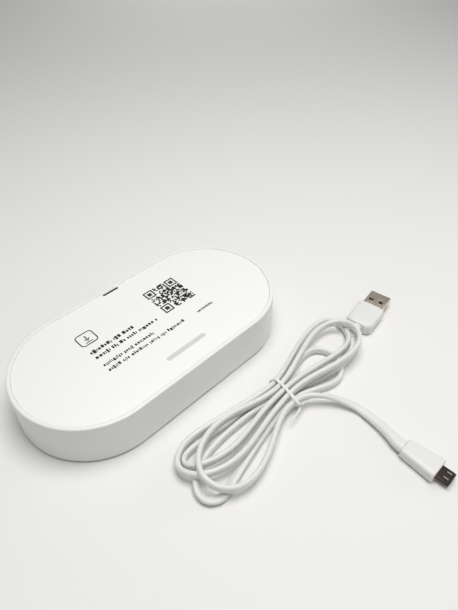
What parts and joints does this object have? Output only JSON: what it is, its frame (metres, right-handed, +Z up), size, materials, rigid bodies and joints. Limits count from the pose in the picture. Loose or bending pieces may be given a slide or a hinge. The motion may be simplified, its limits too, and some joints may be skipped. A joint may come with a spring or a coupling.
{
  "type": "smart home hub",
  "caption": "Flat racetrack-shaped white smart home hub with a pressable inlaid face panel, rear power socket and reset button, with its bundled white USB lead lying beside it",
  "frame": {"origin": "centre of the hub's footprint, on the surface it stands on; the lead beside it isn't counted", "axes": "+X along the hub's length, +Y to its rear where the light and the socket are, +Z up"},
  "size_m": [0.1945, 0.1852, 0.025],
  "materials": {
    "white_plastic": "fine matte moulded white",
    "clear_plastic": "clear polished",
    "smoked_plastic": "smoked, polished",
    "dark_rubber": "matte",
    "black_plastic": "satin moulded",
    "green_board": "solder mask over glass laminate",
    "tin_plate": "tin plated",
    "zinc_steel": "zinc plated",
    "nickel_steel": "nickel plated, drawn",
    "black_steel": "dark nickel plated",
    "gold_contact": "gold flashed",
    "copper_wire": "bare copper",
    "amber_film": "amber film over copper",
    "lead_plastic": "soft satin white"
  },
  "bodies": {
    "root": {"antenna_coax": "black_plastic", "antenna_wire": "copper_wire", "base_cover": "white_plastic", "base_foot": "dark_rubber", "base_screw_1": "zinc_steel", "base_screw_2": "zinc_steel", "base_screw_3": "zinc_steel", "base_screw_4": "zinc_steel", "board_screw_1": "zinc_steel", "board_screw_2": "zinc_steel", "board_screw_3": "zinc_steel", "board_screw_4": "zinc_steel", "capacitor": "tin_plate", "coax_plug": "gold_contact", "crystal": "tin_plate", "film_antenna": "amber_film", "housing": "white_plastic", "key_switch_1": "black_plastic", "key_switch_2": "black_plastic", "key_switch_3": "black_plastic", "lead_hank": "lead_plastic", "lead_tube": "lead_plastic", "light_guide": "clear_plastic", "main_board": "green_board", "memory_chip": "black_plastic", "micro_boot": "lead_plastic", "micro_grip": "lead_plastic", "micro_latch_1": "nickel_steel", "micro_latch_2": "nickel_steel", "micro_shell": "black_steel", "micro_tongue": "black_plastic", "power_inductor": "black_plastic", "processor": "black_plastic", "radio_shield": "tin_plate", "reset_switch": "black_plastic", "status_led": "clear_plastic", "twist_tie": "lead_plastic", "usb_boot": "lead_plastic", "usb_contact_1": "gold_contact", "usb_contact_2": "gold_contact", "usb_contact_3": "gold_contact", "usb_contact_4": "gold_contact", "usb_grip": "lead_plastic", "usb_shell": "nickel_steel", "usb_socket_shell": "tin_plate", "usb_socket_tongue": "black_plastic", "usb_tongue": "black_plastic", "wifi_shield": "tin_plate"},
    "face": {"face_panel": "white_plastic", "light_window": "smoked_plastic"},
    "key_1": {"key_plunger_1": "black_plastic"},
    "key_2": {"key_plunger_2": "black_plastic"},
    "key_3": {"key_plunger_3": "black_plastic"},
    "reset_cap": {"reset_button": "white_plastic", "reset_plunger": "black_plastic"}
  },
  "joints": [
    {"name": "face_press", "type": "slide", "parent": "root", "child": "face", "axis": [0, 0, -1], "range_m": [0, 0.0004], "stiffness_N_per_m": 2700, "springref_m": -0.0006},
    {"name": "key_1_press", "type": "slide", "parent": "root", "child": "key_1", "axis": [0, 0, -1], "range_m": [0, 0.0004]},
    {"name": "key_2_press", "type": "slide", "parent": "root", "child": "key_2", "axis": [0, 0, -1], "range_m": [0, 0.0004]},
    {"name": "key_3_press", "type": "slide", "parent": "root", "child": "key_3", "axis": [0, 0, -1], "range_m": [0, 0.0004]},
    {"name": "reset_press", "type": "slide", "parent": "root", "child": "reset_cap", "axis": [0, -1, 0], "range_m": [0, 0.0005], "stiffness_N_per_m": 600, "springref_m": -0.0005}
  ],
  "couplings": [
    {"joint": "key_1_press", "follows": "face_press", "ratio": 1},
    {"joint": "key_2_press", "follows": "face_press", "ratio": 1},
    {"joint": "key_3_press", "follows": "face_press", "ratio": 1}
  ]
}
